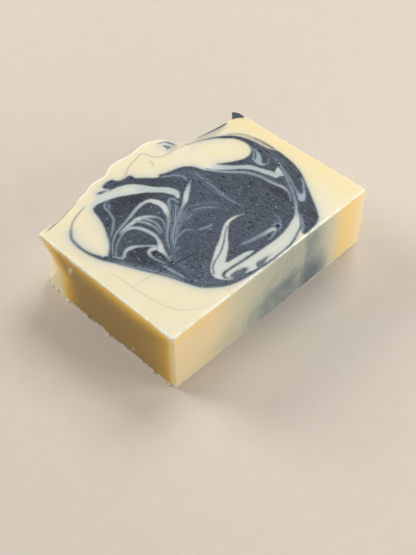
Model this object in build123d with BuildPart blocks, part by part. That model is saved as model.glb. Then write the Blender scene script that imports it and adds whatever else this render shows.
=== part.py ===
"""Hand-cut bar of marbled soap: one slice of a moulded loaf, lying on one of its two cut faces.

The loaf's base faces -Y, its two mould walls face -X and +X and its spooned top faces +Y.
Z runs along the loaf, from the lower cut face to the upper one.
"""
import os
from math import exp, radians, tan

from build123d import *

# Driving dimensions, in millimetres and degrees
loaf_width = 90.0  # between the mould walls, at the loaf's base
wall_height = 61.6  # from the loaf's base to the loaf top at the left wall
crown_rise = 10.0  # how far the spooned crown stands above that
thin_end = 23.7  # slice thickness at the left wall
thick_end = 24.5  # slice thickness at the right wall: the hand cut ran a little out of square
wall_draft = 0.3  # the mould's walls lean outwards
mould_corner = 1.0  # radius in the mould's two lower corners
bevel_on_cut = 1.1  # planed bevel between the upper cut face and the base, across the cut face
bevel_on_base = 0.7  # the same bevel, down the base
shoulder_drop = 8.0  # how far the loaf top slumps where it has shrunk from the left wall
shoulder_reach = 1.6  # how far that slump reaches in from the wall
bulge_height = 3.2  # the lump of soap that sagged over that slump, lower down
bulge_inset = 2.0  # how far the lump's crest stands off the wall
bulge_reach = 2.2  # how far the lump reaches to each side
peak_height = 3.2  # the fin of soap that the spoon drew up beside the right wall
peak_inset = 1.3  # how far that fin's crest stands off the wall
peak_reach = 1.8  # how far the fin slopes down towards the middle
peak_fall = 0.9  # how far it slopes down towards the wall
overrun = 0.6  # how far the scoop that shapes the loaf top runs past the slice

# The spooned top across the loaf: place as a share of half the width, height as a share of the crown's rise
crown_curve = [
    (-1.02, 0.00),
    (-1.00, 0.00),
    (-0.985, 0.00),
    (-0.965, 0.01),
    (-0.94, 0.01),
    (-0.91, 0.02),
    (-0.88, 0.03),
    (-0.82, 0.09),
    (-0.75, 0.185),
    (-0.62, 0.36),
    (-0.56, 0.45),
    (-0.49, 0.52),
    (-0.43, 0.64),
    (-0.35, 0.70),
    (-0.25, 0.73),
    (-0.205, 0.85),
    (-0.165, 0.92),
    (-0.08, 0.96),
    (0.03, 0.93),
    (0.155, 1.00),
    (0.27, 0.90),
    (0.345, 0.62),
    (0.375, 0.24),
    (0.43, 0.05),
    (0.55, -0.11),
    (0.72, -0.235),
    (0.86, -0.275),
    (0.905, -0.28),
    (0.94, -0.28),
    (0.97, -0.28),
    (0.99, -0.28),
    (1.02, -0.28),
]

# How that curve changes along the loaf: height up the slice as a share of its thickness, sideways drift of
# the crown, share of the crown's height, of the left shoulder's slump, its reach and its lump, and of the right fin
spoon_strokes = [
    (0.00, -0.13, 0.88, 0.30, 0.75, 0.40, 0.25),
    (0.30, -0.08, 0.93, 0.50, 0.75, 0.50, 0.15),
    (0.58, -0.04, 0.96, 0.85, 1.00, 0.10, 0.30),
    (0.80, -0.015, 0.985, 0.15, 1.00, 0.00, 0.60),
    (1.00, 0.00, 1.00, 0.00, 1.00, 0.00, 1.00),
]

# Values that follow from them
loaf_height = wall_height + crown_rise
base_y = -loaf_height / 2
crown_y = loaf_height / 2
half_base = loaf_width / 2
flare = tan(radians(wall_draft))
half_top = half_base + wall_height * flare
half_crown = half_base + (loaf_height + overrun) * flare

upper_cut = Plane(
    origin=(0, 0, (thin_end + thick_end) / 2),
    x_dir=(loaf_width, 0, thick_end - thin_end),
    z_dir=(thin_end - thick_end, 0, loaf_width),
)
bevel_cut = Plane(
    origin=upper_cut.from_local_coords((0, base_y + bevel_on_cut, 0)),
    x_dir=upper_cut.x_dir,
    z_dir=upper_cut.z_dir * bevel_on_cut - upper_cut.y_dir * bevel_on_base,
)


def loaf_top_points(drift, swell, slump, reach, lump, fin):
    """The loaf top across the width, at one place along the loaf."""
    points = []
    for across, rise in crown_curve:
        x = half_top * (across + drift * max(1 - across**2, 0))
        from_left = max(half_top + x, 0)
        from_lump = (from_left - bulge_inset) / bulge_reach
        from_crest = half_top - peak_inset - x
        from_crest /= peak_reach if from_crest > 0 else peak_fall
        height = wall_height + crown_rise * rise * swell
        height -= shoulder_drop * slump * exp(-((from_left / (shoulder_reach * reach)) ** 2))
        height += bulge_height * lump * exp(-(from_lump**2))
        height += peak_height * fin * exp(-(from_crest**2))
        points.append((x, base_y + height))
    return points


with BuildPart() as soap_bar:
    # The slice as the mould and the knife leave it
    with BuildSketch():
        with BuildLine():
            Polyline(
                (-half_base, base_y),
                (half_base, base_y),
                (half_crown, crown_y + overrun),
                (-half_crown, crown_y + overrun),
                close=True,
            )
        mould_section = make_face()
        fillet(mould_section.vertices().group_by(Axis.Y)[0], mould_corner)
    extrude(amount=max(thin_end, thick_end) + overrun)
    split(bisect_by=upper_cut, keep=Keep.BOTTOM)
    split(bisect_by=bevel_cut, keep=Keep.BOTTOM)

    # The spooned top: what the spoon left empty above the loaf is lofted along it and taken away
    scoop_length = max(thin_end, thick_end) + 2 * overrun
    for along, drift, swell, slump, reach, lump, fin in spoon_strokes:
        with BuildSketch(Plane.XY.offset(along * scoop_length - overrun)):
            with BuildLine():
                top_line = Spline(loaf_top_points(drift, swell, slump, reach, lump, fin))
                Polyline(
                    top_line @ 1,
                    ((top_line @ 1).X, crown_y + 2 * overrun),
                    ((top_line @ 0).X, crown_y + 2 * overrun),
                    top_line @ 0,
                )
            make_face()
    loft(mode=Mode.SUBTRACT)

soap_bar.part.label = "soap_bar"

os.makedirs("parts", exist_ok=True)
export_step(soap_bar.part, "parts/soap_bar.step")
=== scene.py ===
"""Marbled soap bar: a slice of a moulded loaf, lying on one cut face, charcoal swirled into ivory soap."""
import math

import bpy
import numpy as np
from mathutils import Matrix, Vector, noise
from mathutils.bvhtree import BVHTree


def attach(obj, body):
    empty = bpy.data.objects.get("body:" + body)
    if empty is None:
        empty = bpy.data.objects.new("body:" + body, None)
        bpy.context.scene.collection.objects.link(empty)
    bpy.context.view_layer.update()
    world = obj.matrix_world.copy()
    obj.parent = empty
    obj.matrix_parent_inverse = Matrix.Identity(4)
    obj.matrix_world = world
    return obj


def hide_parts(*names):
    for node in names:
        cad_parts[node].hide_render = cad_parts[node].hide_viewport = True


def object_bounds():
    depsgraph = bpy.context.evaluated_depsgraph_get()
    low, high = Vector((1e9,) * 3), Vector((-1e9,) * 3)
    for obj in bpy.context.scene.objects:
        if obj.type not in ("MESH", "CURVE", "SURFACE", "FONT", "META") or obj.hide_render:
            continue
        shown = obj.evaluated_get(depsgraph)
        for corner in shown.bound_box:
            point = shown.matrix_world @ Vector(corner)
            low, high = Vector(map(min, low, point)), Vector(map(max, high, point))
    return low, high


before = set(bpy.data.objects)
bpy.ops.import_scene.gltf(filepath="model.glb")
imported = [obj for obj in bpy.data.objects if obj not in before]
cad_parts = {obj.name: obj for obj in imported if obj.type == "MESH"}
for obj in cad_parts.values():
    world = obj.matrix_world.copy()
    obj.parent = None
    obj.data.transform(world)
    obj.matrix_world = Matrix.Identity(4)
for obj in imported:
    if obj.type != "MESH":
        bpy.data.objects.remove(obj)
cad_low, cad_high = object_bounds()

MM = 0.001  # the scene is in metres, the soap's own sizes below are in millimetres
TINY = 1e-9  # stands in for 0 where it would divide

# The swirl on the upper cut face, as it was drawn through the loaf. Each place is (across, up), from the
# middle of the width and from a datum line above the loaf's base. The third number of a film, vein, hairline
# or feather is its breadth.
SWIRL_DATUM = 28.5

CHARCOAL_POUR = [
    (-24.6, 30.5), (-22.5, 31), (-18, 32), (-15.2, 32.9), (-16.2, 35.6), (-15.1, 36.6), (-13, 36.95),
    (-11.6, 36.5), (-11, 35.3), (-9.8, 34.3), (-8, 34), (-6.3, 34), (-5.6, 33.4), (-5.5, 32),
    (-4.8, 30.9), (-3, 29.2), (-1, 27.1), (0.5, 26.2), (1.7, 26.9), (3.5, 26), (6, 25.3), (8.5, 24.6),
    (10.4, 23.8), (11.8, 22.5), (13.5, 22.5), (18, 25.5), (23.5, 29), (25, 29.3), (27.5, 28.2),
    (30, 26.9), (32.3, 25.3), (34.2, 23.4), (35.7, 21), (36.6, 18), (37.2, 15), (37.5, 12), (37.8, 9.4),
    (38.5, 7.8), (39.1, 6.6), (38.9, 3.5), (38.3, -0.5), (37.2, -4.2), (36, -7.1), (34.3, -10),
    (32.3, -13), (30, -16.5), (27.8, -19.8), (25.5, -23), (23.5, -25.3), (21.8, -26.4), (19.5, -27),
    (16.8, -27.3), (14.7, -27.2), (14.5, -26.6), (15.6, -25.5), (16.3, -24.6), (15, -25), (13, -25.55),
    (11, -26.4), (9, -27.1), (6, -27.5), (2, -27.6), (-2, -27.5), (-6, -27.3), (-10, -26.95),
    (-14, -26.3), (-17, -25.5), (-19.5, -24.3), (-22, -22.3), (-24, -20.4), (-25.3, -18.4),
    (-26.5, -15.4), (-27.6, -12.4), (-28.8, -9.3), (-30.3, -6.1), (-32.2, -2.3), (-34.2, 2), (-36.2, 6.3),
    (-38, 9.9), (-38.6, 11.4), (-38.2, 12.2), (-37.6, 11.3), (-36.6, 10.9), (-36.1, 10.3), (-35, 11.2),
    (-33, 13), (-31.5, 15), (-30, 17.7), (-28.5, 20.5), (-27.4, 23.2), (-26.5, 26.2), (-26, 28.6),
    (-25.4, 30),
]
UPPER_RIVER = [
    (-25, 31.8), (-20, 34), (-16.2, 33.2), (-13, 32.6), (-10.8, 31.8), (-9, 30.8), (-7.4, 29.3),
    (-6, 27.3), (-4.8, 25.2), (-3.2, 23), (-1.6, 21.3), (-0.4, 19.6), (0.3, 17.8), (0.4, 16.4),
    (-0.1, 15.2), (-1.2, 14.1), (-2.3, 13.6), (-2.3, 14.6), (-2.1, 15.7), (-2.4, 17), (-3.2, 18.5),
    (-4.4, 20.3), (-6, 21.9), (-8, 23.8), (-10.5, 25.4), (-13, 27), (-15.5, 28.6), (-17.5, 29.4),
    (-19.5, 30), (-22, 30.7), (-24, 30.9),
]
RIGHT_BLOB = [
    (11, 25.5), (16, 30), (22, 30.5), (24.4, 29.7), (26.7, 28.35), (29.2, 26.75), (31, 24.8),
    (32.8, 22.9), (33.9, 20.8), (34.5, 18.4), (34.5, 16.4), (33.9, 14.5), (32.7, 12.9), (31, 12),
    (29.3, 11.7), (27.3, 12), (25, 13.1), (22.5, 14.5), (20.5, 15.8), (19.3, 16.7), (18.4, 15.6),
    (16.6, 14.4), (15.2, 15.6), (13.9, 17.8), (13.3, 19.3), (12.8, 20.9), (11.8, 22.6), (10.3, 24),
]
LOWER_CRESCENT = [
    (-16.3, -21.6), (-15.6, -21.1), (-14, -20.9), (-11, -21.1), (-7, -21.5), (-3, -21.8), (1, -22),
    (5, -22.2), (9, -22.05), (12.5, -21.4), (15.5, -20.5), (17.8, -19.7), (19.7, -18.6), (21, -17.4),
    (22.4, -16.2), (23.6, -15.3), (24.4, -14.9), (24, -15.7), (22.8, -17), (21.4, -18.5), (20.2, -19.9),
    (19, -21.3), (17.5, -22.8), (15.8, -24.1), (13.5, -25), (11, -25.95), (8.5, -26.7), (5, -27.1),
    (1, -27.15), (-2, -27), (-5, -26.7), (-8, -26.4), (-10, -25.8), (-11.5, -25.3), (-13, -25),
    (-14.8, -24.3), (-15.8, -23.5), (-16.4, -22.5),
]
LOWER_FORK = [
    (-19, -20), (-18.7, -18.4), (-17.8, -16.7), (-16, -15.2), (-13.5, -13.5), (-10.5, -11.6),
    (-7.5, -10.1), (-5, -8.6), (-2.5, -7), (0, -5.6), (2, -5.1), (4.2, -5.3), (5.8, -5.9), (7.7, -7.1),
    (5.8, -6.5), (3.5, -6.3), (1.6, -6.5), (0, -7.4), (-2, -9.2), (-4, -11), (-6, -13.2), (-8, -14.8),
    (-10, -16.3), (-11.9, -17.8), (-10, -18.4), (-7, -18.75), (-4.5, -19.2), (-2.6, -20.1),
    (-2.2, -20.75), (-5, -20.85), (-9, -20.6), (-13, -20.25), (-15.6, -20.2), (-16.7, -20.8),
    (-17, -22.2), (-16.3, -23.2), (-15.3, -24.2), (-16.3, -24), (-17.5, -22.7), (-18.6, -21.3),
]
RIGHT_RIVER = [
    (16.5, 16), (17.6, 17.2), (19.2, 16.5), (20.5, 14.8), (22, 13), (23.5, 11.4), (25, 10), (26.2, 8.9),
    (27, 7.8), (27.7, 6.2), (28.2, 4.6), (28.8, 3), (29.4, 1.6), (29.7, 0.5), (30.1, -0.3), (30.9, 0),
    (31.8, 0.4), (32.8, 0.5), (32.5, -0.8), (31.9, -2.2), (30.9, -3.9), (29.7, -3.2), (28.2, -2.7),
    (27.7, -0.8), (26.8, 2), (26, 4.8), (24.7, 7.2), (22.8, 9.3), (20, 11.7), (17.5, 14.3),
]
RIGHT_HOOK = [
    (34.4, 14.6), (33.9, 12.6), (33, 10.9), (31.8, 9.8), (30.4, 9), (29.3, 8.9), (29.1, 7.4), (29.1, 5.8),
    (29.7, 4.8), (30.8, 4.4), (31.3, 4.6), (30.6, 5.4), (30.7, 6.3), (31.8, 7.1), (33, 8.6), (33.8, 10.2),
    (34.2, 12.4),
]
LOW_DROP = [
    (28.4, -11.6), (27.6, -12.6), (26.4, -13.9), (25.4, -15.2), (25.2, -16.3), (25.7, -16.9), (26.6, -17),
    (27.8, -16.3), (29.2, -15.1), (30.6, -13.5), (31.8, -12.2), (30.2, -13.2), (28.9, -14), (28.1, -14.3),
    (28, -13.4),
]
CRESCENT_EYE = [
    (-15.2, -22.9), (-13.8, -22.6), (-12, -22.9), (-10.6, -23.4), (-9.3, -24), (-9.7, -24.7),
    (-11.2, -25.1), (-13, -25), (-14.6, -24.3),
]
CRESCENT_FLECK = [
    (-6.4, -26.4), (-5.9, -25.2), (-4.8, -24.9), (-3.2, -25.3), (-1.2, -25.4), (-2.4, -25.9), (-4, -26.5),
]
RIM_TIP = [
    (41, 30), (42, 31.3), (43, 33), (44.2, 35), (46.5, 35), (46.5, 31), (45.4, 29), (44.4, 27.8),
    (43.2, 28.8), (42.2, 29.5),
]
# Each pour with its soap and how thinly the ivory lies over charcoal, from 0 to 1
POURS = [
    ("charcoal", 0, CHARCOAL_POUR),
    ("ivory", 0.36, UPPER_RIVER),
    ("ivory", 0, RIGHT_BLOB),
    ("ivory", 0.34, LOWER_CRESCENT),
    ("ivory", 0.37, LOWER_FORK),
    ("ivory", 0.46, RIGHT_RIVER),
    ("ivory", 0.95, RIGHT_HOOK),
    ("ivory", 0.9, LOW_DROP),
    ("charcoal", 0, CRESCENT_EYE),
    ("charcoal", 0, CRESCENT_FLECK),
    ("charcoal", 0, RIM_TIP),
]

# Stretches where a broad pour is drawn thin: thinness, then the line
FILMS = [
    (0.58, [(-14, 29.3, 0.8), (-8.6, 26.9, 2.2), (-5, 23.6, 3), (-2.2, 19.6, 2.4), (-1, 16.5, 2),
        (-1.8, 14, 1)]),
    (0.5, [(-12, -20.4, 0.6), (-6, -20.4, 1), (-2.6, -20.5, 0.6)]),
    (0.72, [(14, 18.8, 0.6), (18, 15.8, 1.2), (22, 11.2, 2.2), (26, 6.6, 1.8), (28.4, 1.2, 1.8),
        (30, -2.6, 1.6)]),
    (0.85, [(17, -20.8, 0.5), (20, -18.6, 1.4), (22, -17, 1.4), (24.2, -15, 1)]),
]
# Drawn-out veins, each with its breadth along the way
IVORY_VEINS = [
    # the outer hook and its tail
    [(-34.3, 10.1, 0.2), (-31, 13.8, 0.35), (-27, 16.4, 0.6), (-20, 18.5, 0.95), (-14, 20.3, 1.25),
     (-10, 20, 1.6), (-8.5, 17.8, 2.3), (-8.1, 15, 2.2), (-9.2, 12, 1.8), (-10.5, 9.7, 1.2),
     (-13, 7, 0.6), (-16, 4.5, 0.4), (-18.5, 2, 0.2)],
    # the ring round the dark disc
    [(-34.2, 8.8, 0.2), (-31, 12, 0.3), (-27, 14.2, 0.55), (-24, 15.1, 1.2), (-21.2, 13.5, 1.3),
     (-19.8, 10, 1.4), (-19.5, 7, 1.3), (-20, 4.5, 1.2), (-21.3, 2, 1.8), (-22.3, 1, 2.3),
     (-22.6, -1, 1.4), (-23.1, -3, 0.7), (-23.6, -5, 0.3)],
    # the band above it and the strands that hang from the band
    [(-26.5, 15.2, 0.5), (-24.5, 15.8, 1.1), (-20, 16.1, 1.6), (-18, 16, 1.8), (-15.5, 14.9, 1.4),
     (-13.8, 13.1, 0.9), (-12.9, 11.2, 0.45), (-13.2, 9.4, 0.3), (-14.6, 7, 0.2)],
    [(-19.2, 15.6, 1), (-17.7, 13.4, 0.9), (-17.1, 11, 0.8), (-17, 8.5, 0.6), (-17.6, 6, 0.3)],
    [(-17, 15.4, 1.1), (-15.9, 13.4, 0.85), (-15.4, 11, 0.7), (-15.6, 9, 0.55), (-16.8, 6, 0.25)],
    # the arch and the curl beside it
    [(-35, 9, 0.5), (-34, 7.4, 0.8), (-33, 6.6, 1), (-31, 7.9, 1.2), (-29.5, 8.2, 1.5), (-27.5, 7.6, 1.3),
     (-25.5, 6, 0.9), (-24, 4.6, 0.85), (-22.7, 2.8, 1.3)],
    [(-23.3, 2.3, 1.6), (-25, 2.9, 1.4), (-26.2, 2, 1.1), (-26.5, 0, 0.75), (-26.2, -2, 0.5),
     (-25.6, -4.5, 0.25)],
    # the long feather from the river's foot
    [(7, 17.2, 0.2), (5, 16, 0.9), (3.5, 14.9, 1.4), (1, 13.2, 1.8), (-1, 11.5, 1.7), (-3, 10.4, 1.1),
     (-5, 9.3, 0.75), (-8, 7.3, 0.45), (-12, 5, 0.3), (-16, 2, 0.2)],
    # the slim companion of the right river
    [(14.6, 17.6, 0.6), (15.5, 16.2, 0.9), (17.6, 12.9, 0.9), (20.5, 9.6, 0.95), (23.2, 6.3, 0.9),
     (24.8, 2.5, 0.85), (25.2, 0, 0.85), (25.7, -4.5, 1.05), (26.4, -7.5, 1.05), (25.9, -10.2, 0.65),
     (24.7, -12, 0.35), (23, -14, 0.2)],
    # the slim stroke beside the right hook
    [(33.8, 13.6, 0.15), (32.7, 11.9, 0.4), (31.1, 10.4, 0.45), (29.8, 9.5, 0.6)],
    # the feathered hook under the fork
    [(-0.5, -16.9, 0.2), (3, -17.5, 0.7), (6, -17.95, 1.1), (8.4, -18.3, 1.5), (9.5, -18.8, 1.5),
     (9, -19.6, 0.8), (7.4, -20.3, 0.5), (5, -20.8, 0.25)],
]
CHARCOAL_VEINS = [
    # dark lines inside the pale pours
    [(-37.2, 27.4, 0.05), (-38.4, 25.8, 0.1), (-39.2, 24.2, 0.2), (-39.8, 20, 0.4), (-39.4, 15.5, 0.75),
     (-38.2, 11.8, 1.2)],
    [(-18, -18.5, 0.3), (-16, -16.1, 0.35), (-13, -14.7, 0.35), (-9.5, -13.3, 0.3), (-6.5, -11.5, 0.3),
     (-3.5, -9.2, 0.25), (-0.3, -6.9, 0.1)],
    [(-16.9, -22, 0.4), (-16.2, -20.7, 0.5), (-13, -20.7, 0.5), (-9, -21.1, 0.5), (-5, -21.4, 0.6)],
    [(33.6, 12.2, 0.05), (32.3, 10.4, 0.2), (30.9, 9.3, 0.2), (30.2, 9.1, 0.05)],
    [(-19.6, 34.6, 0.2), (-18.4, 34.3, 0.9), (-17.2, 34, 0.4)],
    # charcoal skin of the loaf top, cut through
    [(25, 31.9, 0.1), (28, 31.15, 0.4), (32, 30.6, 0.8), (35, 30.3, 1), (37.3, 30.2, 0.8)],
    # the curl under the right end of the crown
    [(15.2, 37.7, 0.05), (15.5, 36.9, 0.4), (15.8, 35.9, 0.3), (16.1, 35, 0.05)],
    [(13.2, 37, 0.05), (13.3, 36.1, 0.4), (13.9, 35.4, 0.5), (12.9, 34.9, 0.1)],
]

# Hairlines too thin to cover: strength, then the line. They grey the ivory and lighten the charcoal.
HAIRLINES = [
    (0.75, [(-26.6, -5.2, 0.8), (-26.1, -9, 0.5), (-25.4, -13.5, 0.25)]),
    (0.55, [(-36.4, 7.4, 0.15), (-34.4, 3.4, 0.3), (-32.4, -0.6, 0.35), (-30.4, -4.6, 0.5),
        (-28.9, -7.6, 0.5), (-27.6, -11, 0.4), (-26.6, -14, 0.3)]),
    (0.6, [(-30, 16, 0.2), (-26.5, 19, 0.35), (-24, 21.5, 0.45), (-22.8, 24.8, 0.45), (-22.2, 28, 0.45),
        (-20.6, 29.4, 0.5), (-18.8, 29.4, 0.3)]),
    (0.45, [(-21.5, 26.3, 0.25), (-20.3, 28.5, 0.4)]),
    (0.5, [(-18, -1.6, 0.2), (-16.5, 0.2, 0.3), (-13.5, 1.2, 0.35), (-12, 1.4, 0.35), (-10.5, 1.1, 0.3),
        (-8.7, -1, 0.2)]),
    (0.6, [(-7.7, -1.5, 0.3), (-5, -2.7, 0.45), (-2.8, -3, 0.3)]),
    (0.4, [(-8.2, 4, 0.25), (-5.5, 4.8, 0.35), (-4.3, 5, 0.25)]),
    (0.5, [(-3.5, 10, 0.3), (-8, 7.9, 0.35), (-12, 5.4, 0.3), (-15.5, 2.8, 0.25), (-18, 0.3, 0.2)]),
    (0.42, [(-4, 8.3, 0.3), (-8, 6.5, 0.35), (-12, 4, 0.3), (-15, 1.8, 0.2)]),
    (0.38, [(-4.5, 6.9, 0.25), (-9, 5.1, 0.3), (-13, 2.6, 0.25), (-16.5, 0.2, 0.2)]),
    (0.45, [(-2.8, 6.5, 0.25), (-0.5, 5.3, 0.35), (1.5, 3.8, 0.35), (3.5, 1.2, 0.2)]),
    (0.4, [(-19.6, -3, 0.3), (-17.5, -2.6, 0.35)]),
    (0.4, [(10, 13, 0.35), (10.2, 11, 0.4), (9.4, 5, 0.4), (9.3, 2, 0.4), (9.8, -2.5, 0.35),
        (10.2, -4.5, 0.2)]),
    (0.35, [(10.3, 14.5, 0.3), (10.8, 17.5, 0.35), (11, 19.5, 0.25)]),
    (0.6, [(1, 26, 0.4), (2.5, 24.7, 0.4), (5.2, 22.8, 0.4), (6.6, 19.9, 0.45), (6, 18.3, 0.4)]),
    (0.65, [(-7.8, 12.2, 0.4), (-5.8, 14.7, 0.5), (-4.4, 15.5, 0.6), (-3.4, 14.5, 0.5),
        (-3.6, 12, 0.35)]),
    (0.5, [(33, 25.8, 0.4), (35.5, 23.5, 0.6), (37.3, 21, 0.7), (38.3, 18, 0.7), (38.8, 15, 0.7)]),
    (0.85, [(38.3, 18, 0.4), (38.8, 15, 0.6), (39, 12, 0.8), (39, 9, 0.7), (38.8, 7, 0.5)]),
    (0.5, [(25.2, 29.9, 0.5), (21, 31, 0.5), (18, 32.2, 0.4)]),
    (0.3, [(30.6, 4.7, 0.5), (31.8, 4.5, 0.5), (33, 5, 0.35), (34, 6.2, 0.2)]),
    (0.6, [(35.3, 5, 0.15), (35.1, 3, 0.45), (34.2, 1, 0.35), (33, -1.4, 0.35), (31.6, -3.8, 0.4),
        (29.9, -6.6, 0.45), (28, -9.6, 0.45), (26.1, -12.3, 0.5), (24.2, -14.8, 0.6), (22.6, -16.5, 0.7),
        (21.2, -17.6, 0.7)]),
    (0.45, [(33.2, -1.2, 0.2), (32.2, -4, 0.35), (31.2, -6.2, 0.5), (30.2, -8.2, 0.5),
        (29.1, -10.2, 0.45), (28.2, -12, 0.5), (27.4, -13.6, 0.6)]),
    (0.3, [(36.4, 21, 0.6), (37.6, 17, 1.2), (38.1, 13, 1.2), (38.3, 9.5, 0.8), (38.6, 7.4, 0.3)]),
    (0.2, [(18.6, -17.5, 0.3), (18.9, -21, 0.4), (19.4, -24.6, 0.3)]),
    (0.2, [(20.6, -18.6, 0.25), (20.9, -21.6, 0.35), (21.2, -24.6, 0.25)]),
    (0.65, [(30.5, -13, 0.45), (32.5, -11.2, 0.45), (34, -9, 0.25)]),
    (0.6, [(-3.5, -15.8, 0.3), (0, -16.8, 0.5), (3, -17.2, 0.4), (6, -17.4, 0.3)]),
    (0.6, [(10.2, -18.1, 0.3), (11, -17.6, 0.35), (12.1, -17.8, 0.3), (12.5, -18.6, 0.3),
        (11.8, -19.5, 0.35), (10.4, -20, 0.3)]),
    (0.25, [(-15.8, -23.2, 0.8), (-12.4, -23.2, 2.2), (-9.6, -24.2, 1.4), (-7.6, -24.8, 0.5)]),
    (0.25, [(-6.8, -26, 0.6), (-4.6, -25.5, 1.4), (-1.4, -25.6, 0.9), (1, -25.7, 0.3)]),
    (0.35, [(12.5, -18.6, 0.25), (13.7, -17.4, 0.3), (14.5, -16, 0.3), (14.3, -14.2, 0.2)]),
    (0.6, [(15, -26.2, 0.5), (17, -24.3, 0.7), (19, -22, 0.7), (20.5, -20.2, 0.4)]),
    # thin lines in the ivory above and to the left
    (0.35, [(-18, 34, 0.6), (-16.8, 33.8, 1.2), (-15, 33.2, 1)]),
    (0.28, [(-10.5, 34.6, 0.3), (-8, 35, 0.35), (-6.5, 35.3, 0.4), (-3.5, 37.4, 0.4), (0, 38.4, 0.4),
        (3, 39.4, 0.4), (4.5, 39.6, 0.4), (5.9, 37.8, 0.4), (6.3, 35.2, 0.4), (9, 33.2, 0.4),
        (13, 32.8, 0.4), (17, 32.4, 0.4), (21, 31.2, 0.4), (24, 30, 0.35)]),
    (0.25, [(3.9, 34.5, 0.3), (4, 33.2, 0.4), (2.8, 31.4, 0.3)]),
    (0.3, [(16.4, 37, 0.8), (16.6, 35.4, 1.2), (15, 34.2, 1.6), (12.6, 34.4, 1)]),
    (0.25, [(17.2, 34, 0.8), (20, 32.8, 1.2), (24, 31.3, 1.8), (28, 29.8, 2.2), (32, 29, 2),
        (36, 29, 1)]),
    (0.6, [(12, 39.5, 0.2), (14, 38.7, 0.3), (15.3, 37.9, 0.4), (15.6, 37.2, 0.3)]),
    (0.85, [(-43, 32.9, 0.1), (-38, 33.8, 0.25), (-34, 34.85, 0.3), (-30, 36.05, 0.25),
        (-27, 36.9, 0.1)]),
    (0.55, [(-26, 33.3, 0.25), (-30.5, 31.8, 0.3), (-34, 30.2, 0.4), (-37, 27.5, 0.5), (-39.2, 24.3, 0.6),
        (-39.9, 20, 0.9)]),
    (0.16, [(-40, 5, 0.1), (-39.3, -4, 0.15), (-39, -9, 0.15), (-38.1, -14.5, 0.15), (-36.8, -19, 0.15),
        (-34.5, -22.7, 0.15), (-31, -25, 0.12), (-26.5, -26.7, 0.1)]),
]

# Feathers: bands that the spoon combed into many strands, which draw together where the band narrows
FEATHERS = [
    # inside the left border and round the foot of the swirl
    (0.3, [(-37.5, 10.2, 0.8), (-35.2, 6, 1.6), (-32.7, 1, 2), (-30.2, -4, 2.2), (-28, -9, 2.2),
        (-26, -14, 2.4), (-23.6, -18.7, 2.4), (-20, -22.3, 2.4), (-15, -25.3, 1.4), (-9, -26.6, 0.7)]),
    # the tail where hook, loop and long feather meet
    (0.85, [(-4.2, 13.6, 1.6), (-6.8, 11.2, 2.8), (-10, 8.3, 3.2), (-13.5, 5.2, 3.2), (-17, 1.7, 2.8),
        (-19.3, -1.4, 2.2), (-20.4, -3.6, 1.8)]),
    (0.34, [(-17.5, 1, 2.4), (-19.8, -1.8, 2.6), (-21.2, -5, 2.6), (-22.3, -10, 2.2), (-22.8, -15, 1.4)]),
    # strands under the band between hook and ring
    (0.12, [(-21, 17, 1.6), (-17.3, 14.6, 3.4), (-15.3, 11.5, 3.8), (-15.2, 8.5, 3.2), (-16.4, 5.5, 2.2),
        (-18.3, 2.5, 1.4)]),
    # rings round the left of the fork
    (0.28, [(-14.5, -25, 1), (-18.6, -23.2, 2), (-20.6, -20, 2.2), (-19.8, -16.6, 1.8),
        (-17.6, -14.2, 1.2), (-14.5, -12.3, 0.7)]),
    # right of the blob and down to the crescent's tip
    (0.34, [(35.6, 10, 0.6), (35.3, 5, 0.9), (34.3, 1.4, 1), (32.7, -2, 1.1), (30.9, -5.2, 1.5),
        (29.2, -8.2, 1.9), (27.3, -11.2, 1.9), (25, -14.1, 1.5), (22.8, -16.6, 1), (20.8, -18, 0.5)]),
    (0.22, [(36.4, 16, 1), (36.9, 11, 1.8), (36.6, 5, 2.4), (35.6, 0, 2), (33.8, -4, 1.2)]),
    # beside the right river
    (0.5, [(15.8, 14.8, 0.7), (18.6, 11.7, 1), (21.8, 8.2, 1.2), (24.4, 4, 1.2), (25.7, 0, 1.1),
        (26.4, -4, 1), (27, -8, 0.7)]),
    # beside the feathered hook
    (0.4, [(-4, -16.2, 0.8), (2, -17.2, 1.2), (7, -17.8, 1.6), (10.6, -17.9, 1.6), (12.8, -17.2, 1.2),
        (13.9, -15, 0.8)]),
    # under the shoulder of the blob
    (0.3, [(2.5, 24.4, 1), (6.2, 22.6, 2.4), (9.2, 19.5, 3), (10.2, 14.5, 2.4), (9.6, 8, 1.6),
        (9.6, 0, 1)]),
    # the wide sweep through the middle
    (0.22, [(-17, 1.5, 1.5), (-10, 5.5, 4), (-3, 6.5, 4.5), (3, 3.5, 3.5), (6, -1.5, 2)]),
]

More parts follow.
